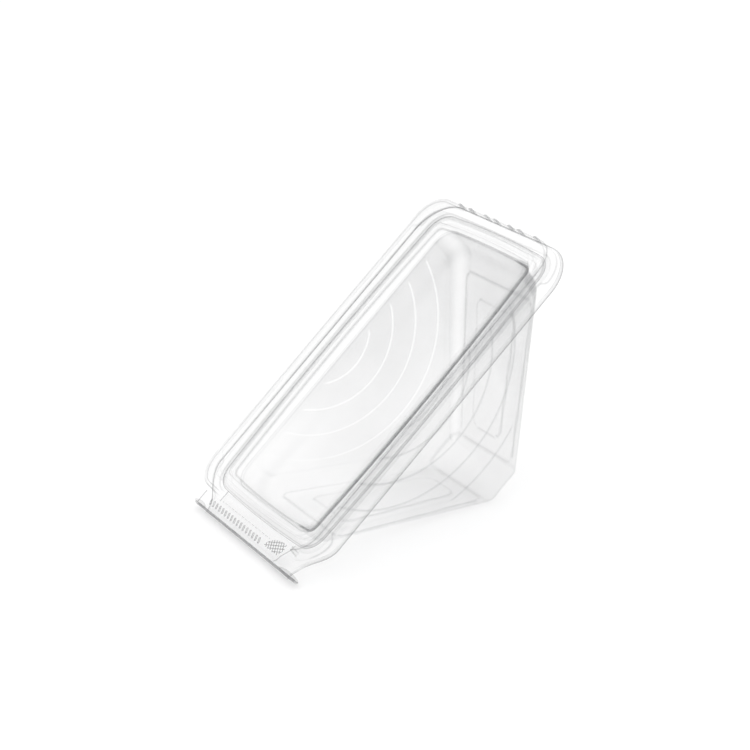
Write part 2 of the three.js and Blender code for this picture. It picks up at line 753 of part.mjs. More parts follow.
const pack = new THREE.Group();
pack.name = "sandwich_wedge_pack";
const mould = new THREE.Group();
mould.add(buildTray(), buildLid());
mould.rotation.y = -standingTilt();
pack.add(mould);
mould.updateMatrixWorld(true);
const bounds = new THREE.Box3().setFromObject(mould, true);
const centre = bounds.getCenter(new THREE.Vector3());
mould.position.set(-centre.x, -centre.y, -bounds.min.z);

export default pack;
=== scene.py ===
import math

import bpy
import numpy as np
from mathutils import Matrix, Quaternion, Vector


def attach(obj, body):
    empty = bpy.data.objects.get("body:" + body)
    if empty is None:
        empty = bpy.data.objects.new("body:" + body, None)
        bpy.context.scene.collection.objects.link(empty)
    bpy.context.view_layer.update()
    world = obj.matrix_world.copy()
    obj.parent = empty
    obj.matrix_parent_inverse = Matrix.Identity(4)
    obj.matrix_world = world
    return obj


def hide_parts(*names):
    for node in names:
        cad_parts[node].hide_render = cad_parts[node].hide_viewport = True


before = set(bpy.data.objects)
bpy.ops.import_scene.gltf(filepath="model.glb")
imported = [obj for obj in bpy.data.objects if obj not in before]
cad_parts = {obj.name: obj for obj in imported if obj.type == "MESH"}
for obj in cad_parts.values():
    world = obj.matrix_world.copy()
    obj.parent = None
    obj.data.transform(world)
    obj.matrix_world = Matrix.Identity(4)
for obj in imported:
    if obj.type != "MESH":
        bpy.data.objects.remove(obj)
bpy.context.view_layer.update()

MM = 0.001

# Camera, as fitted to the photograph
CAMERA_PLACE = (-0.435214, -0.739342, 0.417165)
CAMERA_TARGET = (-0.00575, 0.0, 0.066736)
CAMERA_ROLL = math.radians(-1.722)
CAMERA_LENS = 93.78
CAMERA_SENSOR = 36
CAMERA_SHIFT = (0.0123, 0.0097)
CAMERA_CLIP = (0.01, 20)

# Where the mould frame stands in the part's frame, in millimetres
TILT = math.radians(40.3009)
MOULD_PLACE = np.array([2.5037, 0.0, 68.2154])

# Sizes in millimetres, as in the part's source
SHEET = 0.45
GAP = 0.3
OPENING_LENGTH, OPENING_WIDTH, OPENING_RADIUS, OPENING_ROUND = 162, 73.6, 9, 0.8
BODY_DEPTH, APEX_LENGTH, APEX_WIDTH, APEX_RADIUS = 80.2, 21.8, 57, 4.5
LEG_ANGLE = math.radians(44)
END_BAND_DEPTH = 13
ARC_RADII, ARC_PITCH = (78, 65, 52, 39, 26), 13
ARC_CENTRE_HEIGHT, ARC_STEP, ARC_TOP_MARGIN, ARC_EDGE_MARGIN = 17, 0.45, 3, 3.5
PANEL_STEP = 0.7
PANELS = ((1.6, 86, 6.6, 4), (10.5, 76, 17.5, 5))
RIDGE_LENGTH, RIDGE_WIDTH, RIDGE_RADIUS, RIDGE_HEIGHT = 184, 105, 14, 8.5
RIDGE_CREST, RIDGE_WALL_DRAFT, RIDGE_BOW = 2.1, 1, 1.2
SIDE_STEP_HEIGHT, SIDE_STEP_OUT, SIDE_STEP_TREAD, PAD_BULGE = 4.6, 1.8, 0.9, 0.8
FLANGE_WIDTH, FLANGE_END_OUT, FLANGE_RADIUS, FLANGE_EDGE_WIDTH = 116, 1.8, 20, 0.5
FLANGE_LIP_DROP, FLANGE_LIP_OUT, CORNER_SHELF_HEIGHT = 1.2, 0.3, 0.4
SEAL_HEIGHT, SEAL_CREST, SEAL_DRAFT, SEAL_CLEARANCE = 4.5, 1.1, 0.5, 0.5
LID_LENGTH, LID_WIDTH, LID_RADIUS, LID_BOW_LONG, LID_BOW_SHORT = 173.2, 92.4, 10, 1.8, 1
LID_FLANGE_OUT, LID_RIM_HEIGHT, LID_RIM_WIDTH, LID_RIM_ROUND, LID_WALL_DRAFT = 0.9, 8.4, 3.6, 0.5, 0.8
WINDOW_LEVEL, WINDOW_STEP_RISE, WINDOW_STEP_TREAD, WINDOW_STEP_DRAFT = 1.5, 2.3, 0.6, 0.7
WINDOW_WALL_DRAFT, WINDOW_RADIUS, WINDOW_BOW_LONG, WINDOW_BOW_SHORT = 1.7, 3.5, 2.4, 1.5
FOLD_DISTANCE, FOLD_RADIUS, FOLD_LENGTH = 8.5, 1.3, 100
LOWER_LEAF_WIDTH, LOWER_LEAF_DIP, LOWER_LEAF_EDGE = 82, 1.4, 1.6
FLUTE_PLACES = (-33, -20, -12, 0, 8, 21, 30)
FLUTE_RADIUS, FLUTE_HEIGHT = 1.3, 5.2
PAD_INNER, PAD_OUTER = 0.31, 0.37
SIDE_BLEND, END_BLEND = 0.06, 0.5
RIDGE_END_RAMP, LEAF_BLEND, WALL_SPREAD, SHELF_SPREAD = 0.2, 0.4, 0.15, 0.45

WALL_DRAFT_RATE = (OPENING_WIDTH - APEX_WIDTH) / 2 / BODY_DEPTH
KNEE_HALF_LENGTH = APEX_LENGTH / 2 + (BODY_DEPTH - END_BAND_DEPTH) / math.tan(LEG_ANGLE)
BAND_DRAFT_RATE = (OPENING_LENGTH / 2 - KNEE_HALF_LENGTH) / END_BAND_DEPTH
HINGE_END = -RIDGE_LENGTH / 2
FOLD_X = HINGE_END - FOLD_DISTANCE
LID_FLANGE_TOP = GAP + SHEET
FOLD_Z = LID_FLANGE_TOP - FOLD_RADIUS
LOWER_LEAF_TOP = FOLD_Z - FOLD_RADIUS - GAP
LOWER_LEAF_END = FOLD_X - LOWER_LEAF_EDGE

# Fineness of the skins
CORNER_STEPS = 12
LONG_STEPS = 124
SHORT_STEPS = 46
FILLET_STEPS = 3
SHORTEST_SPAN, SHORTEST_NORMAL = 1e-6, 1e-12

# A fold takes at most a share of the sheet beside it, and the caps lie inside their first fold
FILLET_SHARE = 0.45
BODY_CAP_INSET, BODY_CAP_SHARPER, WINDOW_CAP_INSET = 3.5, 3, 4

# Line strength of the folds: full for a sharp turn, faded at the ends of the rounding
FULL_TURN_LINE = math.radians(70)
PLAIN_LINE, FREE_EDGE_LINE = 0.5, 0.8
FILLET_LINE_START, FILLET_LINE_SPAN = 0.1, 0.8
NEAR_SIDE, NEAR_FADE = -24.0, 16.0

# Pressed steps, each eased over a width, and the lines along them
BODY_TOP, WALL_REACH, LEG_REACH = -0.4, 0.25, 1
PRESS_WIDTH = 1.9
PANEL_LINE, PANEL_END_LINE, PANEL_END_REACH = 0.5, 0.22, 5
ARC_RIM_LINE, UPRIGHT_CORNER_LINE = 0.12, 0.16
ARC_LINE_WIDTH, ARC_START_FADE = 0.85, 2

# Point values are kept between 0 and 1, so a distance from the arcs' centre is stored as a share
REACH_UNIT = 200
SKIN_VALUES = ("painted_light", "reach", "far_zone", "near_zone")

# Painted light: how much lighter than the haze the sheet is drawn, fixed on the mesh by wall and by
# end, lighter on the near wall, the flange and the low end
NEAR_WALL_PAINTED_LIGHT, FLANGE_PAINTED_LIGHT, UPRIGHT_CORNER_PAINTED_LIGHT = 0.78, 0.85, 0.5
LOW_SIDE_PAINTED_LIGHT, LOW_SIDE_START, LOW_SIDE_RUN = 0.6, 10, 55
# Painted glint along the far wall's arcs and painted shade line along the near wall's arcs
FAR_ARC_PAINTED_GLINT, NEAR_ARC_PAINTED_SHADE = 0.85, 0.2

# Lock flutes: their dome is given by how far below the top each share of the radius lies
FLUTE_STEPS, FLUTE_SEAT, FLUTE_FOOT = 10, 0.2, 1.5
FLUTE_DOME = ((1.3, 1.0), (0.7, 0.9), (0.25, 0.62), (0, 0.2))
FLUTE_LINE, FLUTE_SIDE_LINE = 0.1, 0.35

# Upper leaf, as taken from the lid's solid
LEAF_REACH, LEAF_TOLERANCE, LEAF_MARK_HEIGHT, LEAF_FLAT = 3.2, 0.02, 0.2, 0.97
LEAF_SIDE_LINE, LEAF_MARK_LINE = 1.0, 0.6

# Crossed grip ridges of the pull tab
KNURL_TOP, KNURL_PITCH, KNURL_RIDGE, KNURL_SEAT = -14.5, 1.6, 0.34, 0.05
KNURL_OUTLINE = [(-5, -15.5), (-5, -28), (-1.5, -30), (1.6, -29), (1.4, -24), (0, -19), (-3, -16)]
KNURL_ANGLES = (math.radians(38), math.radians(112))
KNURL_REACH, KNURL_SPREAD, KNURL_SAMPLES, KNURL_FEWEST = 12, 9.6, 241, 8
KNURL_LINE = 0.72

# Fold, and the thick ends where the sheet is gathered
FOLD_ROWS, FOLD_STEPS, FOLD_SHIFT = 41, 12, 0.05
FOLD_LINE, FOLD_INNER_LINE = 0.75, 0.4
THICK_ENDS = ((-51, -33), (42, 53))
THICK_ROWS, THICK_STEPS, THICK_SHIFT, THICK_RADIUS = 19, 16, 0.1, 1.5
THICK_START, THICK_FULLNESS, THICK_LINE = 0.06, 0.6, 0.42
ROUND_TURN = 1.9 * math.pi

# Clear sheet: the haze rises from the low end to the top, by a share for each metre of height; this
# darker top is painted shade and partly a thicker sheet there
SHEET_TINT, BENT_TINT_SHARE = (0.2, 0.205, 0.215), 0.42
SHEET_ROUGHNESS, SHEET_IOR = 0.12, 1.45
HAZE_LOW, HAZE_AND_SHADE_RISE = 0.4, 9.0
FACING_BLEND, FACING_POWER, LINE_POWER = 0.5, 5.0, 1.8
CLOUD_SCALE, CLOUD_DETAIL, CLOUD_GAIN, CLOUD_BASE = 28, 3, 0.9, 0.55
RIPPLE_SCALE, RIPPLE_STRENGTH, RIPPLE_DEPTH = 35, 0.02, 0.0006
TRAY_HAZE, TRAY_EDGE_GAIN, TRAY_LINE_GAIN = 0.12, 0.07, 0.5
LID_HAZE, LID_EDGE_GAIN, LID_LINE_GAIN = 0.014, 0.08, 0.56

# Floor, studio light and lamps (name, place, size and power), in metres and watts
FLOOR_HALF, FLOOR_DROP, FLOOR_ROUGHNESS, FLOOR_SPECULAR, FLOOR_GRAIN = 4.0, 0.0005, 0.9, 0.1, 30
FLOOR_GREYS = (0.93, 0.95)
STUDIO_STRENGTH = 1.04
LAMPS = (("key", (-0.6, -0.5, 1.3), 1.1, 2.6), ("back", (0.7, 0.9, 0.9), 0.9, 1.4))
LAMP_AIM = (0, 0, 0.05)

# Sight lines cross many sheets, and come out black where fewer may be crossed
SHEETS_IN_LINE = 48


def clamp(value, low=0.0, high=1.0):
    return np.minimum(np.maximum(value, low), high)


def ease(value):
    t = clamp(value)
    return t * t * (3 - 2 * t)


def edge_band(value):
    """One at the middle of a step and nothing at its ends."""
    t = clamp(value)
    return 4 * t * (1 - t)


# Outlines of the rings, walked anticlockwise from the corner away from the hinge
def arc_point(ring, sx, sy, t):
    angle = t * math.pi / 2
    radius = ring["radius"]
    x = ring["half_length"] - radius + radius * math.cos(angle)
    y = ring["half_width"] - radius + radius * math.sin(angle)
    return np.array([sx * x, sy * y, ring["height"]])


def flange_outline(out):
    return {
        "half_length": RIDGE_LENGTH / 2 + FLANGE_END_OUT + out,
        "half_width": FLANGE_WIDTH / 2 + out,
        "radius": FLANGE_RADIUS + out,
        "height": 0.0,
    }


def hinge_curve_point(sy, t, out):
    leaf, flange = LOWER_LEAF_WIDTH / 2, FLANGE_WIDTH / 2
    run = HINGE_END + RIDGE_RADIUS - LOWER_LEAF_END
    rise = (flange - leaf) * math.pi / 2 * math.sin(math.pi * t)
    length = math.hypot(rise, run)
    shift = -out if t == 0 else 0.0
    x = LOWER_LEAF_END + run * t - rise / length * out + shift
    y = leaf + (flange - leaf) * (1 - math.cos(math.pi * t)) / 2 + run / length * out
    return np.array([x, sy * y, 0.0])


def corner_point(ring, sx, sy, t):
    point = arc_point(ring, sx, sy, t)
    outer = ring.get("outer")
    if outer is None:
        if ring.get("opens_at_hinge") and sx < 0:
            point[2] *= float(ease(t / RIDGE_END_RAMP))
        return point
    if sx > 0:
        target = arc_point(flange_outline(outer["out"]), sx, sy, t)
        point += (target - point) * outer["spread"]
        point[2] = outer["corner_height"]
        return point
    spread_share = min(1.0, t / RIDGE_END_RAMP)
    height_share = float(ease((t - RIDGE_END_RAMP) / LEAF_BLEND))
    spread = outer["hinge_spread"] + (outer["spread"] - outer["hinge_spread"]) * spread_share
    point += (hinge_curve_point(sy, t, outer["out"]) - point) * spread
    climb = outer["corner_height"] - outer["hinge_height"]
    point[2] = outer["hinge_height"] + climb * height_share
    return point


def shape_long_side(ring, point, sy, stop):
    outer = ring.get("outer")
    if outer is None:
        point[1] += sy * ring.get("bow_long", 0.0) * (1 - stop * stop)
        return
    pad = 1 - float(ease((abs(stop) - PAD_INNER) / (PAD_OUTER - PAD_INNER)))
    share = float(ease((1 - abs(stop)) / SIDE_BLEND))
    y = sy * (outer["side_width"] + outer["pad_out"] * pad)
    z = outer["side_height"] + outer["pad_rise"] * pad
    point[1] += (y - point[1]) * share
    point[2] += (z - point[2]) * share


def shape_short_side(ring, point, sx, stop):
    point[0] += sx * ring.get("bow_short", 0.0) * (1 - stop * stop)
    outer = ring.get("outer")
    if outer is not None and sx > 0:
        share = float(ease((1 - abs(stop)) / END_BLEND))
        point[2] += (outer["end_height"] - point[2]) * share


def outline(ring):
    points = []
    for sx, sy in ((1, -1), (1, 1), (-1, 1), (-1, -1)):
        forward = sx * sy > 0
        for i in range(CORNER_STEPS + 1):
            t = i / CORNER_STEPS if forward else 1 - i / CORNER_STEPS
            points.append(corner_point(ring, sx, sy, t))
        t = 1 if forward else 0
        start = corner_point(ring, sx, sy, t)
        end = corner_point(ring, -sx, sy, t) if forward else corner_point(ring, sx, -sy, t)
        steps = LONG_STEPS if forward else SHORT_STEPS
        for i in range(1, steps):
            share = i / steps
            point = start + (end - start) * share
            stop = 2 * share - 1
            if forward:
                shape_long_side(ring, point, sy, stop)
            else:
                shape_short_side(ring, point, sx, stop)
            points.append(point)
    return np.array(points)


def body_rings():
    floor = -BODY_DEPTH + SHEET
    slope = 1 / math.tan(LEG_ANGLE)

    def leg_half(z):
        return APEX_LENGTH / 2 + (z + BODY_DEPTH) * slope - SHEET / math.sin(LEG_ANGLE)

    def band_half(z):
        return OPENING_LENGTH / 2 + BAND_DRAFT_RATE * z - SHEET

    def ring(height, half_length, radius, **more):
        half_width = OPENING_WIDTH / 2 + WALL_DRAFT_RATE * height - SHEET
        return {"height": height, "half_length": half_length, "half_width": half_width,
                "radius": radius, **more}

    knee = (band_half(0) - leg_half(0)) / (slope - BAND_DRAFT_RATE)
    top = -OPENING_ROUND
    cap = ring(floor, leg_half(floor) - BODY_CAP_INSET, APEX_RADIUS - BODY_CAP_SHARPER)
    cap["half_width"] -= BODY_CAP_INSET
    return [
        {**cap, "round": 0, "rows": 1},
        ring(floor, leg_half(floor), APEX_RADIUS, round=1.6, line=0.36, rows=58),
        ring(knee, leg_half(knee), OPENING_RADIUS, round=4.5, line=0.35, rows=6),
        ring(top, band_half(top), OPENING_RADIUS, round=0.8, line=0.5, rows=1),
    ]


def flange_rings():
    seal_out = SHEET + SEAL_CLEARANCE

    def seal(inward, height, **more):
        return {"height": height, "half_length": LID_LENGTH / 2 - seal_out - inward,
                "half_width": LID_WIDTH / 2 - seal_out - inward,
                "radius": LID_RADIUS - seal_out,
                "bow_long": LID_BOW_LONG, "bow_short": LID_BOW_SHORT, **more}

    def ridge(inward, height, bow, **more):
        return {"height": height, "bow_long": bow, "half_length": RIDGE_LENGTH / 2 - inward,
                "half_width": RIDGE_WIDTH / 2 - inward, "radius": RIDGE_RADIUS - inward,
                "opens_at_hinge": True, **more}

    foot = RIDGE_CREST + RIDGE_WALL_DRAFT
    return [
        {"height": 0, "half_length": OPENING_LENGTH / 2 + OPENING_ROUND - SHEET,
         "half_width": OPENING_WIDTH / 2 + OPENING_ROUND - SHEET,
         "radius": OPENING_RADIUS + OPENING_ROUND, "round": 0.6, "line": 0.7, "rows": 2},
        seal(SEAL_CREST + 2 * SEAL_DRAFT, 0, round=0.5, line=0.25, rows=1),
        seal(SEAL_CREST + SEAL_DRAFT, SEAL_HEIGHT, round=0.5, line=0.35, rows=1),
        seal(SEAL_DRAFT, SEAL_HEIGHT, round=0.5, line=0.35, rows=1),
        seal(0, 0, round=0.5, line=0.25, rows=1),
        ridge(foot, 0, RIDGE_BOW, round=0.7, line=0.45, near=0.7, rows=2),
        ridge(RIDGE_CREST, RIDGE_HEIGHT, RIDGE_BOW / 2, round=0.6, line=0.65, rows=1),
        ridge(0, RIDGE_HEIGHT, 0, round=0.6, line=0.8, rows=2),
    ]


def outer_rings():
    flange = FLANGE_WIDTH / 2
    reach = HINGE_END - LOWER_LEAF_END
    step_out = RIDGE_WIDTH / 2 + SIDE_STEP_OUT

    def ring(more, **outer):
        return {"half_length": RIDGE_LENGTH / 2, "half_width": RIDGE_WIDTH / 2,
                "radius": RIDGE_RADIUS, "height": 0,
                "outer": {"out": 0, "pad_out": 0, "pad_rise": 0, **outer}, **more}

    def edge(out, height, hinge_height, **more):
        return ring(more, out=out, hinge_height=hinge_height, spread=1, hinge_spread=1,
                    corner_height=height, end_height=height, side_width=flange + out,
                    side_height=height)

    shelf = CORNER_SHELF_HEIGHT
    return [
        ring({"round": 0.7, "line": 0.5, "rows": 1},
             spread=WALL_SPREAD, hinge_spread=LOWER_LEAF_DIP / reach,
             corner_height=shelf, hinge_height=0, end_height=SIDE_STEP_HEIGHT,
             side_width=step_out, side_height=SIDE_STEP_HEIGHT,
             pad_out=PAD_BULGE, pad_rise=PAD_BULGE),
        ring({"round": 0.5, "line": 0.5, "rows": 2},
             spread=SHELF_SPREAD, hinge_spread=(FOLD_DISTANCE - FOLD_RADIUS - GAP) / reach,
             corner_height=shelf, hinge_height=LOWER_LEAF_TOP,
             end_height=SIDE_STEP_HEIGHT / 2, side_width=step_out + SIDE_STEP_TREAD,
             side_height=SIDE_STEP_HEIGHT - GAP, pad_out=PAD_BULGE / 2, pad_rise=-PAD_BULGE),
        edge(-FLANGE_EDGE_WIDTH, shelf, LOWER_LEAF_TOP, round=0.2, line=1.0, rows=1),
        edge(0, 0, LOWER_LEAF_TOP, round=0.2, line=1.2, rows=1),
        edge(FLANGE_LIP_OUT, -FLANGE_LIP_DROP, LOWER_LEAF_TOP, round=0, rows=0),
    ]


def lid_rings():
    def rim(inward, height, **more):
        return {"height": height, "half_length": LID_LENGTH / 2 - inward,
                "half_width": LID_WIDTH / 2 - inward, "radius": LID_RADIUS - inward,
                "bow_long": LID_BOW_LONG, "bow_short": LID_BOW_SHORT, **more}

    def window(inward, height, **more):
        out = LID_WALL_DRAFT + LID_RIM_WIDTH
        return {"height": height, "half_length": LID_LENGTH / 2 - out - inward,
                "half_width": LID_WIDTH / 2 - out - inward,
                "radius": WINDOW_RADIUS + WINDOW_WALL_DRAFT - min(inward, WINDOW_WALL_DRAFT),
                "bow_long": WINDOW_BOW_LONG, "bow_short": WINDOW_BOW_SHORT, **more}

    step_top = WINDOW_LEVEL + WINDOW_STEP_RISE
    step_inner = WINDOW_WALL_DRAFT + WINDOW_STEP_TREAD
    window_edge = step_inner + WINDOW_STEP_DRAFT
    rim_shoulder = LID_RIM_HEIGHT - LID_RIM_ROUND
    rim_inner = LID_WALL_DRAFT + LID_RIM_ROUND
    return [
        window(window_edge + WINDOW_CAP_INSET, WINDOW_LEVEL, round=0, rows=1),
        window(window_edge, WINDOW_LEVEL, round=0.9, line=0.6, near=4.4, rows=1),
        window(step_inner, step_top, round=0.5, line=0.55, near=2.8, rows=1),
        window(WINDOW_WALL_DRAFT, step_top + GAP, round=0.5, line=0.7, rows=1),
        window(0, rim_shoulder, round=0.35, line=0.5, rows=1),
        window(-LID_RIM_ROUND, LID_RIM_HEIGHT, round=0.35, line=0.5, rows=1),
        rim(rim_inner, LID_RIM_HEIGHT, round=0.35, line=0.5, rows=1),
        rim(LID_WALL_DRAFT, rim_shoulder, round=0.35, line=0.5, rows=2),
        rim(0, LID_FLANGE_TOP, round=0.5, line=0.6, rows=1),
        rim(-LID_FLANGE_OUT, LID_FLANGE_TOP, round=0, rows=0),
    ]


# Rows of a skin: each ring is a rounded fold, and the spans between are cut into rows
def skin_rows(rings):
    loops = [outline(ring) for ring in rings]
    rows, lines = [], []
    previous_end = loops[0]
    rows.append(loops[0])
    lines.append(np.zeros(len(loops[0])))
    for index in range(1, len(rings)):
        here = loops[index]
        before = loops[index - 1] - here
        before_length = np.maximum(np.linalg.norm(before, axis=1), SHORTEST_SPAN)[:, None]
        size = rings[index]["round"]
        last = index == len(rings) - 1
        if last:
            start = here
        else:
            start = here + before / before_length * np.minimum(size, FILLET_SHARE * before_length)
        count = rings[index - 1]["rows"]
        for step in range(1, count):
            rows.append(previous_end + (start - previous_end) * step / count)
            lines.append(np.zeros(len(here)))
        if last:
            rows.append(here)
            lines.append(np.full(len(here), FREE_EDGE_LINE))
            break
        after = loops[index + 1] - here
        after_length = np.maximum(np.linalg.norm(after, axis=1), SHORTEST_SPAN)[:, None]
        end = here + after / after_length * np.minimum(size, FILLET_SHARE * after_length)
        cosine = np.sum(-before / before_length * after / after_length, axis=1)
        turn = np.arccos(clamp(cosine, -1, 1))
        strength = rings[index].get("line", PLAIN_LINE) * clamp(turn / FULL_TURN_LINE)
        near_share = ease((NEAR_SIDE - here[:, 1]) / NEAR_FADE)
        strength = strength * (1 + (rings[index].get("near", 1.0) - 1) * near_share)
        for step in range(FILLET_STEPS + 1):
            t = step / FILLET_STEPS
            rows.append((1 - t) ** 2 * start + 2 * t * (1 - t) * here + t * t * end)
            fade = math.sin(math.pi * (FILLET_LINE_START + FILLET_LINE_SPAN * t))
            lines.append(strength * fade)
        previous_end = end
    return np.array(rows), np.array(lines)


def tapered_depth(along, across, bounds):
    """Share of a leg panel's depth at each point, and the line along the panel's edge."""
    start, end, margin, radius = bounds
    height = -BODY_DEPTH + along * math.sin(LEG_ANGLE)
    half = OPENING_WIDTH / 2 + WALL_DRAFT_RATE * height - margin
    qx = np.maximum(start - along, along - end) + radius
    qy = np.abs(across) - half + radius
    outside = np.hypot(np.maximum(qx, 0), np.maximum(qy, 0))
    distance = outside + np.minimum(np.maximum(qx, qy), 0) - radius
    share = 0.5 - distance / PRESS_WIDTH
    return ease(share), edge_band(share)


def press_panels(rows, lines, in_body):
    """Pushes the panels of the two legs inward, off the leg's own plane."""
    x, y, z = rows[..., 0].copy(), rows[..., 1].copy(), rows[..., 2].copy()
    sin_leg, cos_leg = math.sin(LEG_ANGLE), math.cos(LEG_ANGLE)
    along = (z + BODY_DEPTH) / sin_leg
    on_leg = in_body & (np.abs(x) > APEX_LENGTH / 2 - LEG_REACH)
    for bounds in PANELS:
        depth, edge = tapered_depth(along, y, bounds)
        depth, edge = depth * on_leg, edge * on_leg
        rows[..., 0] -= np.sign(x) * sin_leg * depth * PANEL_STEP
        rows[..., 2] += cos_leg * depth * PANEL_STEP
        lines += edge * np.where(along > PANEL_END_REACH, PANEL_LINE, PANEL_END_LINE)


def arc_zone(x, z, on_wall):
    """Where the side walls are pressed, and the line along the edge of that zone."""
    leg_half = APEX_LENGTH / 2 + (z + BODY_DEPTH) / math.tan(LEG_ANGLE)
    room = np.minimum.reduce([
        (leg_half - np.abs(x)) * math.sin(LEG_ANGLE) - ARC_EDGE_MARGIN - APEX_RADIUS,
        -ARC_TOP_MARGIN - z,
        z + BODY_DEPTH - ARC_EDGE_MARGIN - APEX_RADIUS,
        OPENING_LENGTH / 2 - OPENING_RADIUS - ARC_EDGE_MARGIN - np.abs(x),
    ])
    share = room / PRESS_WIDTH + 0.5
    return ease(share) * on_wall, edge_band(share) * on_wall


def painted_light_by_wall(x, y, in_body, on_wall):
    """How much painted light each point has: fixed values by wall and by end that follow the tones of
    the photograph.
    """
    near_wall = on_wall & (y < 0)
    low_side = LOW_SIDE_PAINTED_LIGHT * ease((-x - LOW_SIDE_START) / LOW_SIDE_RUN)
    return np.where(in_body, np.where(near_wall, NEAR_WALL_PAINTED_LIGHT, low_side), FLANGE_PAINTED_LIGHT)


# Pressed panels of the legs, then pressed arcs of the side walls, one step within the other
def press_body(rows, lines):
    x, y, z = rows[..., 0].copy(), rows[..., 1].copy(), rows[..., 2].copy()
    in_body = z < BODY_TOP
    press_panels(rows, lines, in_body)
    wall = OPENING_WIDTH / 2 + WALL_DRAFT_RATE * z - SHEET
    on_wall = in_body & (np.abs(y) > wall - WALL_REACH)
    zone, rim = arc_zone(x, z, on_wall)
    reach = np.hypot(x, z - ARC_CENTRE_HEIGHT)
    total = np.zeros_like(x)
    for radius in ARC_RADII:
        total += ease((radius - reach) / PRESS_WIDTH + 0.5)
    rows[..., 1] -= np.sign(y) * total * zone * ARC_STEP
    lines += rim * ARC_RIM_LINE * np.minimum(total, 1)

    # Painted light: a light band down the corner between the far wall and the upright leg, with a line
    # on each side
    painted_light = painted_light_by_wall(x, y, in_body, on_wall)
    first = CORNER_STEPS + SHORT_STEPS
    corner = slice(first, first + CORNER_STEPS + 1)
    turn = np.sin(math.pi * np.linspace(0, 1, CORNER_STEPS + 1))
    painted_light[:, corner] = np.maximum(painted_light[:, corner], UPRIGHT_CORNER_PAINTED_LIGHT * turn ** 2)
    lines[:, corner] += np.where(in_body[:, corner], UPRIGHT_CORNER_LINE * (1 - turn), 0)

    inner = ARC_RADII[-1] - ARC_PITCH / 2
    seen = zone * ease((reach - inner) / ARC_START_FADE)
    return {"painted_light": painted_light, "reach": reach / REACH_UNIT,
            "far_zone": np.where(y > 0, seen, 0), "near_zone": np.where(y < 0, seen, 0)}


# A part is its points, faces, line strength by point, smooth shading, and skin values or None
def vertex_normals(points, quads):
    a, b, c, d = (points[quads[:, i]] for i in range(4))
    normals = np.cross(c - a, d - b)
    total = np.zeros_like(points)
    for i in range(4):
        np.add.at(total, quads[:, i], normals)
    length = np.maximum(np.linalg.norm(total, axis=1), SHORTEST_NORMAL)[:, None]
    return total / length


def sheet_part(rows, lines, skin_values=None):
    """Closed sheet of even thickness below its upper skin, with a flat cap inside the first row."""
    count = rows.shape[1]
    points = rows.reshape(-1, 3)
    quads = []
    for row in range(rows.shape[0] - 1):
        for i in range(count):
            a, b = row * count + i, row * count + (i + 1) % count
            quads.append((a, a + count, b + count, b))
    quads = np.array(quads)
    normals = vertex_normals(points, quads)
    normals[:count] = (0, 0, 1)
    lower = points - normals * SHEET
    total = len(points)
    faces = [tuple(q) for q in quads] + [tuple(total + i for i in q[::-1]) for q in quads]
    faces.append(tuple(range(count)))
    faces.append(tuple(total + i for i in reversed(range(count))))
    edge = total - count
    for i in range(count):
        a, b = edge + i, edge + (i + 1) % count
        faces.append((b, a, a + total, b + total))
    return np.vstack([points, lower]), faces, np.tile(lines.ravel(), 2), True, skin_values


def tube_part(centres, radii, steps, start_angle, end_angle, line):
    """Tube along +Y whose radius changes, closed where it runs all the way round."""
    closed = abs(end_angle - start_angle) > ROUND_TURN
    ring = steps if closed else steps + 1
    points = []
    for centre, radius in zip(centres, radii):
        for i in range(ring):
            angle = start_angle + (end_angle - start_angle) * i / steps
            points.append(centre + radius * np.array([math.cos(angle), 0, math.sin(angle)]))
    faces = []
    for row in range(len(centres) - 1):
        for i in range(steps):
            a, b = row * ring + i, row * ring + (i + 1) % ring
            faces.append((a, b, b + ring, a + ring))
    if closed:
        faces.append(tuple(reversed(range(ring))))
        faces.append(tuple(range((len(centres) - 1) * ring, len(centres) * ring)))
    return np.array(points), faces, np.full(len(points), line), True, None


def flute_part(y):
    """Half-round lock flute on the end wall, with a domed top."""
    bottom = RIDGE_HEIGHT - SHEET - FLUTE_HEIGHT
    top = bottom + FLUTE_HEIGHT
    profile = [(bottom, 1.0), (bottom + FLUTE_FOOT, 1.0)]
    profile += [(top - drop, share) for drop, share in FLUTE_DOME]
    points, lines = [], []
    for z, share in profile:
        for i in range(FLUTE_STEPS + 1):
            angle = -math.pi / 2 + math.pi * i / FLUTE_STEPS
            radius = FLUTE_RADIUS * share
            points.append((RIDGE_LENGTH / 2 - FLUTE_SEAT + radius * math.cos(angle),
                           y + radius * math.sin(angle), z))
            lines.append(FLUTE_LINE + FLUTE_SIDE_LINE * abs(math.sin(angle)))
    faces = []
    for row in range(len(profile) - 1):
        for i in range(FLUTE_STEPS):
            a = row * (FLUTE_STEPS + 1) + i
            faces.append((a, a + 1, a + FLUTE_STEPS + 2, a + FLUTE_STEPS + 1))
    return np.array(points), faces, np.array(lines), True, None


def to_mould(points):
    p = points / MM - MOULD_PLACE
    x = p[:, 0] * math.cos(TILT) + p[:, 2] * math.sin(TILT)
    z = -p[:, 0] * math.sin(TILT) + p[:, 2] * math.cos(TILT)
    return np.stack([x, p[:, 1], z], axis=1)


def to_part(points):
    x = points[:, 0] * math.cos(TILT) - points[:, 2] * math.sin(TILT)
    z = points[:, 0] * math.sin(TILT) + points[:, 2] * math.cos(TILT)
    return (np.stack([x, points[:, 1], z], axis=1) + MOULD_PLACE) * MM


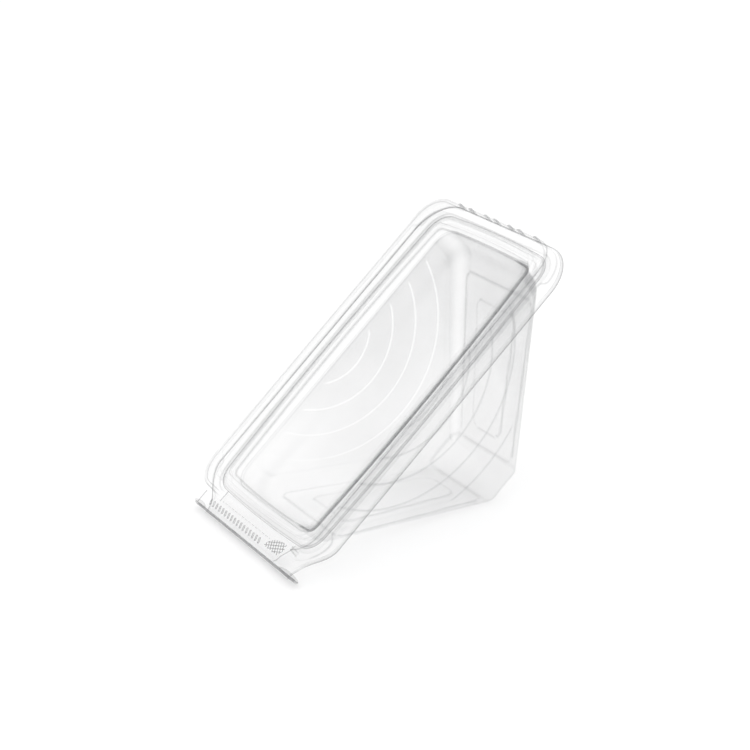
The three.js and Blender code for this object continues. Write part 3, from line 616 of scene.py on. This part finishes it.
def leaf_part():
    """Upper leaf with its strip marks and slits, from the lid's own solid, without the grip points."""
    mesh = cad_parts["lid"].data
    mould = to_mould(np.array([v.co for v in mesh.vertices], float))
    points, faces, lines = [], [], []
    for polygon in mesh.polygons:
        corners = mould[list(polygon.vertices)]
        centre = corners.mean(axis=0)
        beyond = centre[0] > HINGE_END + LEAF_REACH
        if beyond or corners[:, 0].min() < FOLD_X + LEAF_TOLERANCE:
            continue
        top = corners[:, 2].max()
        if top > LID_FLANGE_TOP + LEAF_TOLERANCE and centre[1] < KNURL_TOP:
            continue
        normal = np.cross(corners[1] - corners[0], corners[2] - corners[0])
        normal /= max(np.linalg.norm(normal), SHORTEST_NORMAL)
        steep = abs(normal[2]) < LEAF_FLAT
        raised = top > LID_FLANGE_TOP + LEAF_MARK_HEIGHT and not steep
        base = len(points)
        points.extend(corners)
        line = LEAF_SIDE_LINE if steep else LEAF_MARK_LINE if raised else 0.0
        lines.extend([line] * len(corners))
        faces.append(tuple(range(base, base + len(corners))))
    return np.array(points), faces, np.array(lines), False, None


def inside(point, polygon):
    """True if a point of the plane is inside a polygon."""
    found = False
    for (ax, ay), (bx, by) in zip(polygon, polygon[1:] + polygon[:1]):
        if (ay > point[1]) != (by > point[1]):
            found ^= point[0] < (bx - ax) * (point[1] - ay) / (by - ay) + ax
    return found


def ridge_part(start, end, half):
    """Low straight bar on the upper leaf, between two points of its plane."""
    corners = [start - half, end - half, end + half, start + half]
    low = [(HINGE_END + x, y, LID_FLANGE_TOP - KNURL_SEAT) for x, y in corners]
    high = [(HINGE_END + x, y, LID_FLANGE_TOP + KNURL_RIDGE / 2) for x, y in corners]
    faces = [(3, 2, 1, 0), (4, 5, 6, 7)]
    faces += [(i, (i + 1) % 4, (i + 1) % 4 + 4, i + 4) for i in range(4)]
    points = np.array(low + high)
    return points, faces, np.full(len(points), KNURL_LINE), False, None


def knurl_parts():
    """Crossed grip ridges of the pull tab, clipped to its outline."""
    parts = []
    centre = np.mean(KNURL_OUTLINE, axis=0)
    reach = np.linspace(-KNURL_REACH, KNURL_REACH, KNURL_SAMPLES)
    offsets = np.arange(-KNURL_SPREAD, KNURL_SPREAD + KNURL_PITCH / 2, KNURL_PITCH)
    for angle in KNURL_ANGLES:
        along = np.array([math.cos(angle), math.sin(angle)])
        square = np.array([-along[1], along[0]])
        for offset in offsets:
            run = [centre + along * t + square * offset for t in reach]
            kept = [q for q in run if inside(q, KNURL_OUTLINE)]
            if len(kept) >= KNURL_FEWEST:
                parts.append(ridge_part(kept[0], kept[-1], square * KNURL_RIDGE / 2))
    return parts


def fold_parts():
    """Half-round fold, outer and inner skin, and the swellings at its thick ends."""
    half_turn = (math.pi / 2, 1.5 * math.pi)
    ys = np.linspace(-FOLD_LENGTH / 2, FOLD_LENGTH / 2, FOLD_ROWS)
    centres = [np.array([FOLD_X + FOLD_SHIFT, y, FOLD_Z]) for y in ys]
    parts = []
    for radius, line in ((FOLD_RADIUS, FOLD_LINE), (FOLD_RADIUS - SHEET, FOLD_INNER_LINE)):
        parts.append(tube_part(centres, np.full(FOLD_ROWS, radius), FOLD_STEPS, *half_turn, line))
    for low, high in THICK_ENDS:
        ys = np.linspace(low, high, THICK_ROWS)
        swell = np.sin(np.linspace(THICK_START, math.pi - THICK_START, THICK_ROWS)) ** THICK_FULLNESS
        centres = [np.array([FOLD_X + THICK_SHIFT, y, FOLD_Z]) for y in ys]
        radii = THICK_RADIUS * swell
        parts.append(tube_part(centres, radii, THICK_STEPS, 0, 2 * math.pi, THICK_LINE))
    return parts


def make_piece(name, parts, material, body, node):
    points, faces, smooth = [], [], []
    values = {label: [] for label in ("line", *SKIN_VALUES)}
    base = 0
    for part_points, part_faces, part_lines, part_smooth, skin_values in parts:
        for label in SKIN_VALUES:
            if skin_values is None:
                values[label].append(np.zeros(len(part_points)))
            else:
                values[label].append(np.tile(skin_values[label].ravel(), 2))
        points.append(to_part(part_points))
        values["line"].append(part_lines)
        faces.extend(tuple(int(base + i) for i in face) for face in part_faces)
        smooth.extend([part_smooth] * len(part_faces))
        base += len(part_points)
    mesh = bpy.data.meshes.new(name)
    mesh.from_pydata(np.vstack(points).tolist(), [], faces)
    mesh.update()
    mesh.polygons.foreach_set("use_smooth", smooth)
    for label, stretches in values.items():
        attribute = mesh.attributes.new(label, "FLOAT", "POINT")
        attribute.data.foreach_set("value", clamp(np.concatenate(stretches)).astype(np.float32))
    mesh.materials.append(material)
    piece = bpy.data.objects.new(name, mesh)
    bpy.context.scene.collection.objects.link(piece)
    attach(piece, body)
    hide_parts(node)
    return piece


# Clear sheet: nearly all see-through, greyer where it turns away or is bent
def clear_sheet(name, haze, edge_gain, line_gain):
    material = bpy.data.materials.new(name)
    material.use_nodes = True
    tree = material.node_tree
    nodes, links = tree.nodes, tree.links
    shader = nodes["Principled BSDF"]
    shader.inputs["Roughness"].default_value = SHEET_ROUGHNESS
    shader.inputs["IOR"].default_value = SHEET_IOR

    def maths(operation, *values, clamp_it=False):
        node = nodes.new("ShaderNodeMath")
        node.operation = operation
        node.use_clamp = clamp_it
        for socket, value in zip(node.inputs, values):
            if isinstance(value, (int, float)):
                socket.default_value = value
            else:
                links.new(value, socket)
        return node.outputs[0]

    def reading(label):
        node = nodes.new("ShaderNodeAttribute")
        node.attribute_name = label
        return node.outputs["Fac"]

    weight = nodes.new("ShaderNodeLayerWeight")
    weight.inputs["Blend"].default_value = FACING_BLEND
    facing = maths("POWER", weight.outputs["Facing"], FACING_POWER)

    # Lines of the arcs, from the distance to their centre: a painted glint on the far wall and a
    # painted shade line on the near wall
    offset = maths("MULTIPLY_ADD", reading("reach"), REACH_UNIT, -ARC_RADII[-1])
    away = maths("DIVIDE", maths("PINGPONG", offset, ARC_PITCH / 2), ARC_LINE_WIDTH)
    arc = maths("SUBTRACT", 1.0, away, clamp_it=True)
    far_arc_glint = maths("MULTIPLY", maths("MULTIPLY", arc, reading("far_zone")), FAR_ARC_PAINTED_GLINT)
    near_arc_shade = maths("MULTIPLY", maths("MULTIPLY", arc, reading("near_zone")), NEAR_ARC_PAINTED_SHADE)
    bend = maths("ADD", maths("POWER", reading("line"), LINE_POWER), near_arc_shade)

    # Haze, uneven as the sheet is, and less where the painted light values and the far arcs' painted
    # glint say so
    place = nodes.new("ShaderNodeTexCoord")
    cloud = nodes.new("ShaderNodeTexNoise")
    cloud.inputs["Scale"].default_value = CLOUD_SCALE
    cloud.inputs["Detail"].default_value = CLOUD_DETAIL
    links.new(place.outputs["Object"], cloud.inputs["Vector"])
    thin = maths("MULTIPLY_ADD", cloud.outputs["Fac"], CLOUD_GAIN, CLOUD_BASE)
    split_place = nodes.new("ShaderNodeSeparateXYZ")
    links.new(place.outputs["Object"], split_place.inputs[0])
    # Painted shade, and partly a thicker sheet: the haze grows towards the top
    rise = maths("MULTIPLY_ADD", split_place.outputs["Z"], HAZE_AND_SHADE_RISE, HAZE_LOW)
    painted_light = maths("MAXIMUM", reading("painted_light"), far_arc_glint)
    left = maths("SUBTRACT", 1.0, painted_light, clamp_it=True)
    hazy = maths("MULTIPLY", rise, left)
    base = maths("MULTIPLY", maths("MULTIPLY", thin, hazy), haze)
    with_edge = maths("MULTIPLY_ADD", facing, edge_gain, base)
    with_line = maths("MULTIPLY_ADD", bend, line_gain, with_edge, clamp_it=True)
    links.new(with_line, shader.inputs["Alpha"])

    mix = nodes.new("ShaderNodeMix")
    mix.data_type = "RGBA"
    mix.inputs["A"].default_value = (*SHEET_TINT, 1)
    mix.inputs["B"].default_value = (*(c * BENT_TINT_SHARE for c in SHEET_TINT), 1)
    darker = maths("ADD", facing, bend, clamp_it=True)
    links.new(darker, mix.inputs["Factor"])
    links.new(mix.outputs["Result"], shader.inputs["Base Color"])

    ripple = nodes.new("ShaderNodeTexNoise")
    ripple.inputs["Scale"].default_value = RIPPLE_SCALE
    links.new(place.outputs["Object"], ripple.inputs["Vector"])
    bump = nodes.new("ShaderNodeBump")
    bump.inputs["Strength"].default_value = RIPPLE_STRENGTH
    bump.inputs["Distance"].default_value = RIPPLE_DEPTH
    links.new(ripple.outputs["Fac"], bump.inputs["Height"])
    links.new(bump.outputs["Normal"], shader.inputs["Normal"])
    return material


def build_tray():
    rows, lines = skin_rows(body_rings() + flange_rings() + outer_rings())
    skin_values = press_body(rows, lines)
    parts = [sheet_part(rows, lines, skin_values)]
    parts.extend(flute_part(y) for y in FLUTE_PLACES)
    material = clear_sheet("clear_sheet_tray_look", TRAY_HAZE, TRAY_EDGE_GAIN, TRAY_LINE_GAIN)
    make_piece("tray_sheet", parts, material, "tray", "tray")


def build_lid():
    rows, lines = skin_rows(lid_rings())
    parts = [sheet_part(rows, lines), leaf_part(), *knurl_parts(), *fold_parts()]
    material = clear_sheet("clear_sheet_lid_look", LID_HAZE, LID_EDGE_GAIN, LID_LINE_GAIN)
    make_piece("lid_sheet", parts, material, "lid", "lid")


def floor_material():
    material = bpy.data.materials.new("floor_paper")
    material.use_nodes = True
    nodes, links = material.node_tree.nodes, material.node_tree.links
    shader = nodes["Principled BSDF"]
    shader.inputs["Roughness"].default_value = FLOOR_ROUGHNESS
    shader.inputs["Specular IOR Level"].default_value = FLOOR_SPECULAR
    grain = nodes.new("ShaderNodeTexNoise")
    grain.inputs["Scale"].default_value = FLOOR_GRAIN
    ramp = nodes.new("ShaderNodeValToRGB")
    for element, grey in zip(ramp.color_ramp.elements, FLOOR_GREYS):
        element.color = (grey, grey, grey, 1)
    links.new(grain.outputs["Fac"], ramp.inputs["Fac"])
    links.new(ramp.outputs["Color"], shader.inputs["Base Color"])
    return material


def build_stage():
    half = FLOOR_HALF
    mesh = bpy.data.meshes.new("floor")
    corners = [(-half, -half, 0), (half, -half, 0), (half, half, 0), (-half, half, 0)]
    mesh.from_pydata(corners, [], [(0, 1, 2, 3)])
    mesh.materials.append(floor_material())
    floor = bpy.data.objects.new("floor", mesh)
    floor.location.z = -FLOOR_DROP
    bpy.context.scene.collection.objects.link(floor)

    world = bpy.data.worlds.new("studio")
    bpy.context.scene.world = world
    world.use_nodes = True
    background = world.node_tree.nodes["Background"]
    background.inputs["Color"].default_value = (1, 1, 1, 1)
    background.inputs["Strength"].default_value = STUDIO_STRENGTH

    for name, place, size, power in LAMPS:
        light = bpy.data.lights.new(name, "AREA")
        light.size = size
        light.energy = power
        lamp = bpy.data.objects.new(name, light)
        lamp.location = place
        aim = Vector(LAMP_AIM) - lamp.location
        lamp.rotation_euler = aim.to_track_quat("-Z", "Y").to_euler()
        bpy.context.scene.collection.objects.link(lamp)


def build_camera():
    data = bpy.data.cameras.new("camera")
    data.sensor_width = CAMERA_SENSOR
    data.lens = CAMERA_LENS
    data.shift_x, data.shift_y = CAMERA_SHIFT
    data.clip_start, data.clip_end = CAMERA_CLIP
    camera = bpy.data.objects.new("camera", data)
    camera.location = CAMERA_PLACE
    aim = (Vector(CAMERA_TARGET) - Vector(CAMERA_PLACE)).to_track_quat("-Z", "Y")
    camera.rotation_mode = "QUATERNION"
    camera.rotation_quaternion = aim @ Quaternion((0, 0, 1), CAMERA_ROLL)
    bpy.context.scene.collection.objects.link(camera)
    bpy.context.scene.camera = camera


build_camera()
build_tray()
build_lid()
build_stage()
bpy.context.scene.view_settings.view_transform = "Standard"
bpy.context.scene.cycles.transparent_max_bounces = SHEETS_IN_LINE

bpy.context.view_layer.update()
